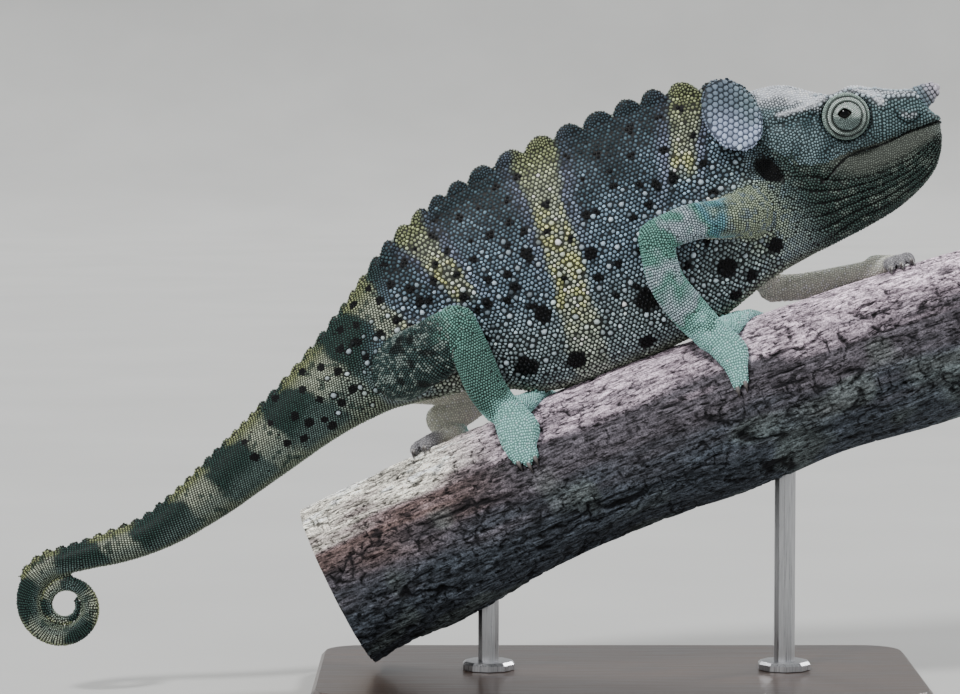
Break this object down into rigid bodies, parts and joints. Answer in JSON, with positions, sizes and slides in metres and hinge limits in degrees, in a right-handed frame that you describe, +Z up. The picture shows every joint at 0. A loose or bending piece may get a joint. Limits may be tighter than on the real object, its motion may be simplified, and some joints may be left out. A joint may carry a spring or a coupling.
{
  "type": "chameleon model",
  "caption": "Life-size still model of an adult giant one-horned chameleon walking up a cut length of thick branch, tail coiled, held by a flat display base and two short rods.",
  "frame": {"origin": "middle of the model's box seen from above, on the surface that the stand's base rests on", "axes": "+Z up, +X towards the animal's head along the branch as seen from above, -Y towards the animal's right side"},
  "size_m": [0.3668, 0.124, 0.2292],
  "materials": {
    "skin_body": "matt granular scales, dark slate with yellow bands and black spots",
    "skin_tail": "matt ringed scales, dark green-grey and yellow-grey bands",
    "skin_head": "matt plate scales, grey-blue with pale casque sides",
    "skin_throat": "matt folded skin with small scales, dark olive",
    "skin_limb": "matt small scales, blue-green",
    "eye": "scaled turret lids, satin, with a glossy dark eye in the opening",
    "horn": "satin horn with a pale tip",
    "claw": "satin horn",
    "bark": "rough cracked grey bark, sawn ends",
    "stand_base": "dark satin lacquer",
    "stand_rod": "brushed"
  },
  "bodies": {
    "root": {"claw_front_left_1": "claw", "claw_front_left_2": "claw", "claw_front_left_3": "claw", "claw_front_left_4": "claw", "claw_front_left_5": "claw", "claw_front_right_1": "claw", "claw_front_right_2": "claw", "claw_front_right_3": "claw", "claw_front_right_4": "claw", "claw_front_right_5": "claw", "claw_hind_left_1": "claw", "claw_hind_left_2": "claw", "claw_hind_left_3": "claw", "claw_hind_left_4": "claw", "claw_hind_left_5": "claw", "claw_hind_right_1": "claw", "claw_hind_right_2": "claw", "claw_hind_right_3": "claw", "claw_hind_right_4": "claw", "claw_hind_right_5": "claw", "eye_left": "eye", "eye_right": "eye", "foot_left": "skin_limb", "foot_right": "skin_limb", "forearm_left": "skin_limb", "forearm_right": "skin_limb", "hand_left": "skin_limb", "hand_right": "skin_limb", "head": "skin_head", "horn": "horn", "lobe_left": "skin_head", "lobe_right": "skin_head", "lower_jaw": "skin_throat", "neck": "skin_body", "perch": "bark", "shin_left": "skin_limb", "shin_right": "skin_limb", "stand_base": "stand_base", "stand_rod_high": "stand_rod", "stand_rod_low": "stand_rod", "tail_1": "skin_tail", "tail_2": "skin_tail", "tail_3": "skin_tail", "tail_4": "skin_tail", "tail_coil_inner": "skin_tail", "tail_coil_outer": "skin_tail", "thigh_left": "skin_limb", "thigh_right": "skin_limb", "throat": "skin_throat", "trunk_front": "skin_body", "trunk_rear": "skin_body", "upper_arm_left": "skin_limb", "upper_arm_right": "skin_limb"}
  },
  "joints": []
}
